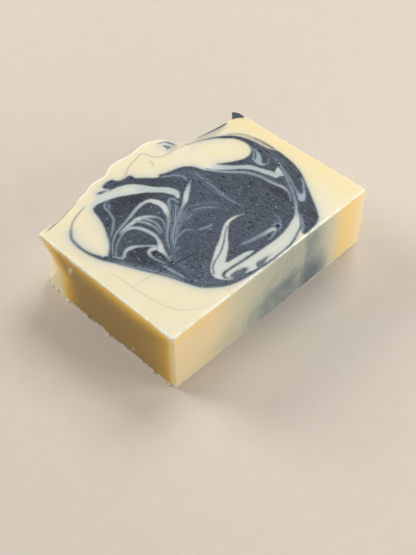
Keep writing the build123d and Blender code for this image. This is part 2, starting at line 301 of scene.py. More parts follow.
# The knife's scratches, each with its depth along the way, and the larger spots where it tore the face:
# place, radius and rise; a pit is painted dark as shade, a crumb pale as a highlight
SCRATCHES = [
    [(-45, -4, 0.03), (-40, -4.3, 0.04), (-31, -5.7, 0.1), (-23, -7, 0.13), (-16, -8.3, 0.1),
        (-13, -8.9, 0.03)],
    [(-18, -9.7, 0.02), (-13, -10.1, 0.05), (-8.5, -10.5, 0.02)],
    [(-3, -11.2, 0.02), (2, -12, 0.06), (6.3, -13, 0.02)],
]
TORN_SPOTS = [
    (20.4, 1.9, 0.55, -0.35), (21.3, 2.6, 0.35, 0.15), (-27, 10.3, 0.45, 0.25), (-17.4, 11.9, 0.45, 0.25),
    (10.4, 15.1, 0.4, 0.2), (-8, 2.6, 0.35, 0.2), (-22.2, -17.6, 0.35, 0.22), (-21.7, -16, 0.35, 0.2),
    (14, -4.4, 0.4, -0.2), (6.4, -11, 0.4, -0.18), (-4.2, -15, 0.35, -0.2), (2, 3.4, 0.35, 0.2),
    (11.6, 7, 0.4, -0.2), (17.5, -12.2, 0.4, 0.18), (-12.5, 23.5, 0.4, -0.18), (33.8, -7.6, 0.4, -0.22),
    (-38.2, 6, 0.35, 0.15), (-43.6, 1.5, 0.4, 0.2), (-44, 14.5, 0.35, 0.2), (-31, 18, 0.3, 0.12),
    (2.4, 35.5, 0.35, 0.1), (-21, -12, 0.4, -0.15), (11.2, -6.4, 0.4, -0.15), (20.3, -6, 0.45, -0.18),
    (10, -9.5, 0.35, -0.12), (15, -10.3, 0.4, -0.15), (16.7, -10.8, 0.35, -0.12),
    (5.3, -12.9, 0.4, -0.15), (4, -12.5, 0.35, -0.1), (21, -11.8, 0.4, -0.15), (16.4, -13.5, 0.4, -0.12),
    (11.2, -18.6, 0.75, -0.1), (7.4, -7.2, 0.35, 0.12), (3.6, -7.2, 0.3, 0.1), (13.8, -6.9, 0.35, 0.15),
    (17.1, -13, 0.3, 0.12), (21.8, -11.6, 0.3, 0.12), (19.5, -9.2, 0.35, 0.12), (-24, -19.5, 0.35, 0.15),
    (-21.2, -12.5, 0.35, 0.15), (-30.2, 2.4, 0.35, 0.12), (3.4, 19.6, 0.35, -0.12),
    (-6.5, 24.2, 0.35, 0.12), (22.6, -20.4, 0.35, 0.12), (29.4, -8.2, 0.35, -0.14),
    (14.6, 2.2, 0.35, 0.12),
]
# Crumbs that stuck to the left wall: place up the loaf, height, radius and rise
WALL_CRUMBS = [
    (19.4, 16.4, 0.6, 0.35), (18.8, 17.6, 0.5, 0.3), (18.2, 18.9, 0.45, 0.2), (-9.5, 3.2, 0.5, 0.2),
]
# Charcoal close under the skin of the base, low and high on it: place across and strength
GHOST_LOW = [
    (-46, 0.06), (-36, 0.12), (-24, 0.32), (-17, 0.4), (-12, 0.58), (-6, 0.72), (0, 0.76), (8, 0.78),
    (12, 0.7), (15.5, 1), (20, 0.98), (24, 0.77), (28, 0.38), (34, 0.1), (42, 0), (46, 0),
]
GHOST_HIGH = [
    (-46, 0), (-30, 0.1), (-20, 0.28), (-14, 0.36), (-8, 0.47), (0, 0.56), (8, 0.59), (12.5, 0.56),
    (15.5, 0.74), (19, 0.7), (24, 0.5), (29, 0.27), (36, 0.06), (46, 0),
]
GHOST_LOBES = [(6.0, 9.0, 4.5, 2.6, 0.2), (-3.0, 8.0, 4.0, 2.4, 0.08)]
# Pools where the charcoal is darker: place, reach across and up
DARK_POOLS = [(-27.5, 2.5, 6, 6), (21, -23, 5, 5), (-12, 24.5, 16, 6), (24, -8, 3, 9)]

# Charcoal that the spoon dragged over the loaf top: places are (across, through the slice), then breadth
LOAF_TOP_VEINS = [
    [(27, 24.2, 1.2), (32, 23.6, 2.2), (36.5, 21.5, 2.6), (35, 17, 2.2), (30, 14, 1.6), (31, 9, 2.4),
     (36, 5, 2), (34, -1, 1.4)],
    [(-40, 24.5, 0.5), (-33, 23.2, 1), (-28, 20, 1.6), (-31, 14, 1.4), (-37, 10, 1), (-36, 4, 1.6),
     (-30, -1, 1.2)],
    [(41, 25, 2), (44, 23.5, 4.5), (45, 20, 3.6), (44.6, 15, 1.6), (45, 10, 0.5)],
    [(15.8, 25, 1), (16.6, 21, 1.4), (14, 16, 0.8), (15.4, 10, 1.2), (12, 4, 0.8), (13, -1, 0.5)],
    [(-14, 12, 0.3), (-8, 14, 1.2), (0, 11, 1.6), (5, 13, 0.6)],
]
LOAF_TOP_FEATHERS = [
    (0.6, [(24, 24, 2), (31, 21.5, 4), (33, 16, 4), (27, 12, 3), (28, 6, 4), (33, -1, 3)]),
    (0.5, [(-42, 24, 1.5), (-33, 21.5, 3), (-30, 15, 3.5), (-36, 9, 3), (-33, 0, 2.5)]),
    (0.45, [(-18, 10, 1), (-8, 13, 4), (2, 10.5, 4), (9, 13, 1)]),
]
HAIR_FADE = 0.26  # how softly a hairline ends to each side
FEATHER_FADE = 0.5  # and a feather
FILM_FADE = 1.6  # and a film
CHARCOAL_REACH = 3.0  # the swirl's distance field stops growing this deep in charcoal
IVORY_REACH = 9.0  # and this far out in ivory
BAND_REACH = 4.0  # films and feathers are worked out this far round their line
STRAND_SHIFT = 9.7  # keeps the strands of one feather unlike those of the next


def flow(points, closed=False, step=0.4):
    """Places on a smooth line through the given ones; a third column, the breadth, goes along."""
    given = np.array(points, float)
    if closed:
        padded = np.vstack([given[-1:], given, given[:2]])
    else:
        padded = np.vstack([2 * given[0] - given[1], given, 2 * given[-1] - given[-2]])
    line = []
    for before, start, end, after in zip(padded, padded[1:], padded[2:], padded[3:]):
        count = max(int(np.linalg.norm(end[:2] - start[:2]) / step), 1)
        t = np.linspace(0, 1, count, endpoint=False)[:, None]
        bend = before - 2.5 * start + 2 * end - 0.5 * after
        swing = (3 * (start - end) + after - before) / 2
        line.append(start + t * (end - before) / 2 + t**2 * bend + t**3 * swing)
    line.append(given[:1] if closed else given[-1:])
    return np.vstack(line)


def off_line(line, at):
    """For each place, how far it lies off the nearest stretch of a line, with the sign of its side of it, the
    line's breadth there and the share of the line's run."""
    off = np.full(len(at), np.inf)
    breadth = np.zeros(len(at))
    along = np.zeros(len(at))
    for n, (start, end) in enumerate(zip(line, line[1:])):
        run = end[:2] - start[:2]
        share = np.clip((at - start[:2]) @ run / max(run @ run, TINY), 0, 1)
        away = at - start[:2] - share[:, None] * run
        side = np.where(run[0] * away[:, 1] - run[1] * away[:, 0] < 0, -1, 1)
        distance = np.hypot(away[:, 0], away[:, 1])
        nearer = distance < np.abs(off)
        off = np.where(nearer, side * distance, off)
        breadth = np.where(nearer, start[2] + share * (end[2] - start[2]), breadth)
        along = np.where(nearer, (n + share) / (len(line) - 1), along)
    return off, breadth, along


def near_line(points, at, reach):
    """Which places lie in the box of a line, widened by a reach; for those their gap to the line's border and
    what off_line says."""
    line = flow(points)
    low = line[:, :2].min(0) - reach
    high = line[:, :2].max(0) + reach
    near = np.all((at > low) & (at < high), axis=1)
    off, breadth, along = off_line(line, at[near])
    return near, np.abs(off) - breadth / 2, off, breadth, along


def depth_in_pour(outline, at):
    """How deep each place lies inside a closed outline; negative outside it."""
    loop = flow([(x, y, 0.0) for x, y in outline], closed=True)
    gap = np.abs(off_line(loop, at)[0])
    inside = np.zeros(len(at), bool)
    for start, end in zip(loop, loop[1:]):
        crosses = (start[1] > at[:, 1]) != (end[1] > at[:, 1])
        slope = (end[0] - start[0]) / ((end[1] - start[1]) or TINY)
        inside ^= crosses & (at[:, 0] < start[0] + (at[:, 1] - start[1]) * slope)
    return np.where(inside, gap, -gap)


def ease(value, low, high):
    """Smooth step from 0 at low to 1 at high."""
    t = np.clip((value - low) / (high - low), 0, 1)
    return t * t * (3 - 2 * t)


def bell(*shares):
    """1 where all the given distances, as shares of their reach, are 0, and falling off around that."""
    return np.exp(-sum(share**2 for share in shares))


def marble(at, pours, ivory_veins, charcoal_veins, hairlines, feathers):
    """The swirl's fields at places on one face: signed distance into the charcoal, thinness of the ivory,
    strength of the hairlines, strength of the feathers and place across their strands."""
    edge = np.full(len(at), -IVORY_REACH)
    thin, hair, feather, strand = np.zeros((4, len(at)))
    for soap, thinness, outline in pours:
        depth = depth_in_pour(outline, at)
        edge = np.maximum(edge, depth) if soap == "charcoal" else np.minimum(edge, -depth)
        edge = np.minimum(edge, CHARCOAL_REACH)
        thin = thin + (thinness - thin) * ease(depth, -0.6, 0.1)
    for vein in ivory_veins:
        near, gap, _, breadth, _ = near_line(vein, at, CHARCOAL_REACH)
        edge[near] = np.minimum(edge[near], gap)
        # the narrower a vein, the thinner it lies
        fine = np.clip(1.32 - 0.45 * breadth, 0.42, 1) * ease(gap, 0.5, 0)
        thin[near] = np.maximum(thin[near], fine)
    for vein in charcoal_veins:
        near, gap, *_ = near_line(vein, at, IVORY_REACH)
        edge[near] = np.maximum(edge[near], -gap)
    for thinness, film in FILMS if pours else []:
        near, gap, *_, along = near_line(film, at, BAND_REACH)
        cover = ease(gap, FILM_FADE, 0) * ease(along, 0, 0.35)
        thin[near] = np.maximum(thin[near], thinness * cover)
    for strength, hairline in hairlines:
        near, gap, *_, along = near_line(hairline, at, 4 * HAIR_FADE)
        ends = ease(along, 0, 0.12) * ease(along, 1, 0.85)
        cover = strength * bell(np.maximum(gap, 0) / HAIR_FADE) * (0.35 + 0.65 * ends)
        hair[near] = np.maximum(hair[near], cover)
    for number, (strength, band) in enumerate(feathers):
        near, gap, off, breadth, along = near_line(band, at, BAND_REACH)
        ends = ease(along, 0, 0.1) * ease(along, 1, 0.85)
        cover = strength * bell(np.maximum(gap, 0) / FEATHER_FADE) * ends
        stronger = cover > feather[near]
        across = off / (breadth / 2) + STRAND_SHIFT * number
        strand[near] = np.where(stronger, across, strand[near])
        feather[near] = np.maximum(feather[near], cover)
    return edge, thin * ease(edge, -4.5, -1.5), hair, feather, strand


# Sizes read from the frame's solid, in millimetres
OUTSIDE = 200.0  # every measuring line starts this far off
CUT_FEELER = 40.0  # the upper cut is measured this far to each side of the middle
WALL_INSET = 0.1  # the walls lean, so the loaf top is measured this far inside them
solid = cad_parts["soap_bar"].data
solid_tree = BVHTree.FromPolygons(
    [Vector(corner) for corner in np.array([v.co for v in solid.vertices]) / MM],
    [tuple(polygon.vertices) for polygon in solid.polygons],
)
base_y = cad_low.y / MM
half_top = cad_high.x / MM


def meet(origin, direction):
    """Where a straight line from outside first meets the solid."""
    return solid_tree.ray_cast(Vector(origin), Vector(direction))[0]


half_base = abs(meet((-OUTSIDE, base_y + 3, 10), (1, 0, 0)).x)  # clear of the mould's corner
cut_left = meet((-CUT_FEELER, 0, OUTSIDE), (0, 0, -1)).z
cut_right = meet((CUT_FEELER, 0, OUTSIDE), (0, 0, -1)).z
cut_middle = (cut_left + cut_right) / 2
cut_slope = (cut_right - cut_left) / (2 * CUT_FEELER)
wall_height = meet((-half_top + 4, OUTSIDE, cut_left - 0.1), (0, -1, 0)).y - base_y  # clear of the shoulder

# Lattice of the bar: lines across the loaf, up the loaf and through the slice, closer together at the edges
EDGE_LINES = [0.0, 0.12, 0.3, 0.55, 0.9]
ACROSS, UP, THROUGH = 300, 212, 30
UNDER_STEP = 4  # the underside has only every fourth line
MOULD_CORNER = 1.0
KNIFE_EDGE = 0.45  # usual radius along a cut edge
BEVEL_ON_CUT, BEVEL_ON_BASE = 1.1, 0.7
SHOULDER_LEAN = 0.8
WAVE_FADE = 1.5  # the low waves of a face die out this deep in the soap
FLAKE_FADE = 0.6  # and the flakes along the foot
SKIN_WRAP = 0.35  # the mould's skin reaches this far round an edge
SCRATCH_WIDTH = 0.2
CHIP_PLACE = 7.5  # of the chip in the lower left edge, up the loaf
# Layers of roughness: height of the bumps, their size and a seed that sets them apart
ROUGHNESS = {
    "cut edges": [(0.55, 2.6, 1), (0.35, 0.9, 2)],
    "left edge": [(1.1, 1.8, 15), (0.7, 0.7, 16)],
    "knocked corner": [(0.5, 0.8, 12)],
    "upper cut": [(0.07, 11, 3)],
    "mould walls": [(0.12, 9, 4)],
    "base": [(0.09, 10, 5)],
    "loaf top": [(0.22, 5.5, 6), (0.1, 2.2, 7)],
    "shoulder crumbs": [(1.1, 1.3, 21)],
    "broad flakes": [(2.0, 1.8, 10)],
    "fine flakes": [(0.7, 0.8, 11)],
    "shoulder line": [(1.2, 4, 19)],
    "butter clouds": [(0.28, 7, 20)],
    "worn rims": [(0.6, 3.5, 8), (0.5, 1.2, 9)],
    "ghost across": [(1.2, 6, 13)],
    "ghost up": [(1.5, 5, 14)],
    "ghost mottle": [(0.1, 2.6, 17), (0.08, 1.1, 18)],
}


def lattice_shares(count, length):
    """Shares of a length at which the lattice lines lie."""
    ends = np.array(EDGE_LINES)
    middle = np.linspace(ends[-1], length - ends[-1], count - 2 * (len(ends) - 1) + 1)
    return np.concatenate([ends[:-1], middle, length - ends[-2::-1]]) / length


def cut_height(x):
    """Height of the upper cut face, which leans a little."""
    return cut_middle + cut_slope * x


def loaf_top_table(across, through):
    """Where the spooned loaf top lies over each lattice line across and through, from the solid."""
    table = np.zeros((len(across), len(through)))
    for i, share in enumerate(across):
        x = np.clip((2 * share - 1) * half_top, -half_top + WALL_INSET, half_top - WALL_INSET)
        for k, level in enumerate(through):
            z = np.clip(level, 0.002, 0.998) * cut_height(x)
            table[i, k] = meet((x, OUTSIDE, z), (0, -1, 0)).y
    for _ in range(2):
        table[1:-1] = (table[:-2] + 2 * table[1:-1] + table[2:]) / 4
    # away from the upper cut the spoon left it smoother still
    soft = table
    for _ in range(14):
        beside = np.pad(soft, ((0, 0), (1, 1)), mode="edge")
        soft = (beside[:, :-2] + 2 * soft + beside[:, 2:]) / 4
    return table + (soft - table) * ease(through, 0.95, 0.6)


def rough(places, name):
    """Smooth random heights at places, from the named layers of roughness."""
    total = np.zeros(len(places))
    for height, size, seed in ROUGHNESS[name]:
        shift = Vector((seed * 17.3, seed * 5.1, seed * 9.7))
        total += height * np.array([noise.noise(Vector(p) / size + shift) for p in places])
    return total


def round_edge(depth_in, depth_down, reach_in, reach_down):
    """How far a lattice point moves in and down where two faces meet in an elliptic edge."""
    a = np.clip(1 - depth_in / reach_in, 0, 1)
    b = np.clip(1 - depth_down / reach_down, 0, 1)
    pull = np.maximum(a, b) / np.maximum(np.hypot(a, b), TINY)
    both = (depth_in < reach_in) & (depth_down < reach_down)
    move_in = np.where(both, (1 - a * pull) * reach_in - depth_in, 0)
    move_down = np.where(both, (1 - b * pull) * reach_down - depth_down, 0)
    return move_in, move_down


def way_round(left, foot, right, head):
    """Lattice places (line across, line up) once round a rectangle."""
    return (
        [(i, foot) for i in range(left, right)]
        + [(right, j) for j in range(foot, head)]
        + [(i, head) for i in range(right, left, -1)]
        + [(left, j) for j in range(head, foot, -1)]
    )


def bar_lattice():
    """Lattice places (line across, line up, line through) of the bar's skin, and the faces between them."""
    rim = way_round(0, 0, ACROSS, UP)
    cuts = ((THROUGH, 1), (0, UNDER_STEP))
    places = [(i, j, k) for k in range(THROUGH + 1) for i, j in rim]
    for k, step in cuts:
        places += [(i, j, k) for i in range(step, ACROSS, step) for j in range(step, UP, step)]
    number = {place: n for n, place in enumerate(places)}

    faces = []
    for k in range(THROUGH):
        for (i, j), (m, n) in zip(rim, rim[1:] + rim[:1]):
            faces.append([number[i, j, k], number[m, n, k], number[m, n, k + 1], number[i, j, k + 1]])
    # a face of the underside takes in each place of the rim that lies on its own outline
    for k, step in cuts:
        for i in range(0, ACROSS, step):
            for j in range(0, UP, step):
                outline = way_round(i, j, i + step, j + step)
                face = [number[m, n, k] for m, n in outline if (m, n, k) in number]
                faces.append(face if k else face[::-1])
    return np.array(places), faces


def shape_bar():
    """The bar's skin: vertex places in millimetres, faces and the fields that colour it."""
    places, faces = bar_lattice()
    across = lattice_shares(ACROSS, 2 * half_base)
    up = lattice_shares(UP, wall_height)
    through = lattice_shares(THROUGH, cut_middle)
    loaf_top = loaf_top_table(across, through)

    u, v, w = across[places[:, 0]], up[places[:, 1]], through[places[:, 2]]
    half = half_base + (half_top - half_base) * v
    x = (2 * u - 1) * half
    top_y = loaf_top[places[:, 0], places[:, 2]]
    y = base_y + v * (top_y - base_y)
    cut = cut_height(x)
    z = w * cut
    sharp = np.stack([x, y, z], 1)
    on_face = np.stack([x, y - base_y - SWIRL_DATUM], 1)
    up_face = on_face[:, 1]
    upper, lower = places[:, 2] == THROUGH, places[:, 2] == 0
    from_left, from_right = x + half, half - x
    from_base, from_top = y - base_y, top_y - y

    # crumbly edges round both cut faces
    crumble = np.clip(0.75 + rough(sharp, "cut edges"), 0.25, 1.6)
    ragged = np.clip(0.6 + rough(sharp, "left edge"), 0.15, 2.4)
    knife = np.array([KNIFE_EDGE, KNIFE_EDGE])
    bevel = np.array([BEVEL_ON_CUT, BEVEL_ON_BASE])
    for down, sign, base_edge in ((cut - z, -1, bevel), (z, 1, knife)):
        edges = [
            (from_base, base_edge, crumble, 0, 1),
            (from_left, knife, ragged, 1, 0),
            (from_right, 1.4 * knife, crumble, -1, 0),
            (from_top, 0.5 * knife, crumble, 0, -1),
        ]
        for inward, reach, wear, sideways, upwards in edges:
            move_in, move_down = round_edge(inward, down, reach[0] * wear, reach[1] * wear)
            x = x + sideways * move_in
            y = y + upwards * move_in
            z = z + sign * move_down

    # the mould's two lower corners
    for side in (-1, 1):
        move_side, move_up = round_edge(half - side * x, y - base_y, MOULD_CORNER, MOULD_CORNER)
        x = x - side * move_side
        y = y + move_up

    # the knocked corner at the front left of the upper cut, and a chip in the lower left edge
    knock = bell(from_left / 1.5, from_base / 1.9, (cut - z) / 1.3) * (0.8 + rough(sharp, "knocked corner"))
    chip = ease(np.abs(up_face - CHIP_PLACE), 3.0, 1.6) * ease(z, 1.1, 0.5) * np.exp(-from_left / 0.8)
    x = x + 0.1 * knock + 0.9 * chip
    y = y + 0.1 * knock
    z = z - 0.12 * knock

    # the left wall leans in towards the slumped shoulder, more so away from the upper cut
    lean = ease(from_base, 48, 62) ** 1.5 * ease(cut - z, 1.5, 9.0)
    x = x + SHOULDER_LEAN * lean * np.exp(-from_left / 8)

    # low waves: the knife's drag on the cut face, shrinkage on the walls, the spoon on the loaf top
    smooth = np.stack([x, y, z], 1)
    near_walls = np.exp(-from_left / WAVE_FADE) - np.exp(-from_right / WAVE_FADE)
    near_base = np.exp(-from_base / WAVE_FADE)
    near_top = np.exp(-from_top / WAVE_FADE)
    lift = np.clip(z, 0, 1)
    z = z + np.exp(-np.abs(cut - z) / WAVE_FADE) * rough(smooth, "upper cut")
    x = x + near_walls * rough(smooth, "mould walls") * lift
    y = y + near_base * rough(smooth, "base") * lift
    y = y + near_top * lift * rough(smooth, "loaf top")
    crumbly = np.exp(-from_left / 2.5) * ease(cut - z, 5, 9) * near_top * lift
    y = y + crumbly * np.maximum(rough(smooth, "shoulder crumbs") - 0.11, 0)
    marks, shade = knife_marks(on_face)
    z = z + np.where(upper, marks, 0)
    crumbs = np.zeros(len(x))
    for along, height, radius, rise in WALL_CRUMBS:
        crumb = bell(np.hypot(up_face - along, z - height) / radius) * np.exp(-from_left / 0.3)
        x = x - rise * crumb
        crumbs = np.maximum(crumbs, crumb)

    # the ragged foot: soap that the knife pushed out along the lower edge
    foot = ease(z, 1.1, 0.1)
    flakes = np.maximum(rough(sharp, "broad flakes") - 0.2, 0) + np.maximum(rough(sharp, "fine flakes"), 0)
    x = x - foot * flakes * (np.exp(-from_left / FLAKE_FADE) - 0.4 * np.exp(-from_right / FLAKE_FADE))
    y = y - 0.45 * foot * flakes * np.exp(-from_base / FLAKE_FADE)
    z = np.maximum(z, 0)
    down = cut - z

    # the swirl on the upper cut, the same swirl a little drifted on the lower one, and drags on the loaf top
    names = ("charcoal_edge", "thin", "hair", "feather", "strand")
    fields = {name: np.zeros(len(x)) for name in names}
    fields["charcoal_edge"] -= IVORY_REACH
    drift = np.stack([3.0 * np.sin(up_face / 15), 2.4 * np.cos(on_face[:, 0] / 17)], 1)
    spooned = (places[:, 1] == UP) & ~lower
    swirls = [
        (upper, marble(on_face[upper], POURS, IVORY_VEINS, CHARCOAL_VEINS, HAIRLINES, FEATHERS)),
        (lower, marble((on_face + drift)[lower], POURS, [], [], [], FEATHERS)),
        (spooned, marble(sharp[spooned][:, [0, 2]], [], [], LOAF_TOP_VEINS, [], LOAF_TOP_FEATHERS)),
    ]
    for face, swirl in swirls:
        for name, values in zip(names, swirl):
            if face is spooned:
                values = np.where(upper[face], np.maximum(values, fields[name][face]), values)
            fields[name][face] = values

    # the mould's skin on the walls, painted shade on the left wall, and charcoal that shows through the skin
    left, right, base = [bell(inward / SKIN_WRAP) for inward in (from_left, from_right, from_base)]
    skin = np.where(upper | lower, 0, np.maximum.reduce([left, right, base]))
    fields["skin"] = skin
    fields["left_wall"] = left * skin
    fields["ghost"] = ghost_of_charcoal(sharp[:, 0], sharp[:, 2]) * bell(from_base / 1.2) * skin
    # painted glow: light that has crossed the soap leaves by the walls' ends and upper edges, and is painted
    # there as golden colour
    shoulder = up_face - 25 - 5 * ease(z, 12, 21) + rough(sharp, "shoulder line")
    glow_left = np.maximum.reduce([
        (1 - 0.45 * ease(up_face, -10, 18)) * bell(down / 4.0),
        np.minimum(1.1 * np.exp(-from_base / 4.0), 1),
        0.75 * bell((shoulder + 1.5) / 4.0),
    ])
    glow_base = np.maximum(0.45 * bell(down / 3.5), 0.55 * bell((from_right - 11) / 10))
    fields["glow"] = skin * (left * glow_left + (1 - left) * glow_base)
    # no mould skin on the shoulder that sagged off the left wall, and little on the corner below it; both are
    # painted lighter cream where light falls, as are the base's right corner and the left wall's upper edge
    fields["bare"] = np.maximum.reduce([
        ease(shoulder, -3.5, 2.5) * ease(down, 0.3, 1.5) * bell(from_left / 4),
        0.85 * skin * bell(from_base / 1.8, from_left / 0.5),
        0.6 * skin * bell(from_base / 1.2, from_right / 5),
        0.5 * left * skin * bell(down / 1.4),
    ])
    # butter-coloured clouds, and a painted warm glow towards the right end
    clouds = np.maximum(0.05 + rough(sharp, "butter clouds"), 0)
    fields["butter"] = np.clip(clouds + 0.85 * bell(from_right / 11), 0, 1)
    # painted highlights and shade of the knife's marks
    fields["mark"] = np.where(upper, shade, 0)
    # the charcoal darker in pools and towards the right
    pools = [bell(*((on_face - pool[:2]) / pool[2:]).T) for pool in DARK_POOLS]
    fields["deep"] = np.maximum(0.9 * np.maximum.reduce(pools), 0.3 * ease(x, 6, 20))
    # white rims where the edges crumbled, with painted highlights where the edges and the flakes of the foot
    # catch the light
    rim_patches = 0.9 + rough(sharp, "worn rims")
    white_rims_and_highlights = [
        ease(np.abs(from_base - 0.5 * BEVEL_ON_CUT), 0.6, 0.2) * ease(down, 1.0, 0.6) * ease(rim_patches, 0.5, 1.1),
        ease(from_left, 1.1, 0.3) * ease(down, 0.9 + 0.5 * ease(y, -10, 15), 0.2) * ease(ragged, 0.2, 0.9),
        0.5 * ease(from_right, 0.6, 0.1) * ease(down, 0.5, 0.1),
        ease(from_top, 0.9, 0.3) * ease(down, 0.6, 0.1) * ease(x, 19, 15) * ease(x, -27, -22),
        knock,
        crumbs,
        1.2 * ease(from_left, 0.6, 0.1) * ease(z, 0.9, 0.2),
        0.45 * ease(from_base, 0.6, 0.1) * ease(z, 0.9, 0.3),
    ]
    fields["rim"] = np.clip(np.maximum.reduce(white_rims_and_highlights) * rim_patches, 0, 1)
    return np.stack([x, y, z], 1), faces, fields


def ghost_of_charcoal(x, z):
    """How much charcoal shows through the base's skin, where it lies close under it."""
    places = np.stack([x, z, np.zeros(len(x))], 1)
    x = x + rough(places, "ghost across")
    z = z + rough(places, "ghost up")
    low, high = [np.interp(x, *zip(*curve)) for curve in (GHOST_LOW, GHOST_HIGH)]
    veil = high + (low - high) * ease(z, 15, 3)
    for across, height, reach, rise, strength in GHOST_LOBES:
        veil += strength * bell((x - across) / reach, (z - height) / rise)
    veil += veil * rough(places, "ghost mottle")
    return np.clip(veil, 0, 1)


def knife_marks(at):
    """Scratches, pits and crumbs that the knife left on the upper cut: height, and painted shade from -1 to
    1, dark in scratches and pits and pale as a highlight on crumbs.
    """
    height, shade = np.zeros((2, len(at)))
    for scratch in SCRATCHES:
        near, _, off, depth, _ = near_line(scratch, at, 5 * SCRATCH_WIDTH)
        groove = bell(off / SCRATCH_WIDTH)
        height[near] -= depth * groove
        shade[near] -= np.clip(depth * 7, 0, 0.9) * groove
    for x, y, radius, rise in TORN_SPOTS:
        spot = bell(np.hypot(at[:, 0] - x, at[:, 1] - y) / radius)
        height += rise * spot
        shade += np.sign(rise) * spot
    return height, np.clip(shade, -1, 1)


def linear(colour):
    """Linear colour of an sRGB hex value."""
    parts = [int(colour[n:n + 2], 16) / 255 for n in (1, 3, 5)]
    return (*[p / 12.92 if p <= 0.04045 else ((p + 0.055) / 1.055) ** 2.4 for p in parts], 1.0)


def add(tree, kind, inputs=None, stops=(), **settings):
    """Adds a node with its settings and colour stops; each input is a value, an output or a node, which
    stands for its first output in use."""
    made = tree.nodes.new("ShaderNode" + kind)
    for name, value in settings.items():
        setattr(made, name, value)
    for n, (position, colour) in enumerate(stops):
        elements = made.color_ramp.elements
        stop = elements[n] if n < 2 else elements.new(position)
        stop.position = position
        stop.color = linear(colour)
    for socket, value in (inputs or {}).items():
        if isinstance(value, bpy.types.Node):
            value = next(output for output in value.outputs if output.enabled)
        if isinstance(value, bpy.types.NodeSocket):
            tree.links.new(value, made.inputs[socket])
        else:
            made.inputs[socket].default_value = value
    return made


def blank_material(name):
    """A material with an empty node tree."""
    material = bpy.data.materials.new(name)
    material.use_nodes = True
    material.node_tree.nodes.clear()
    return material, material.node_tree


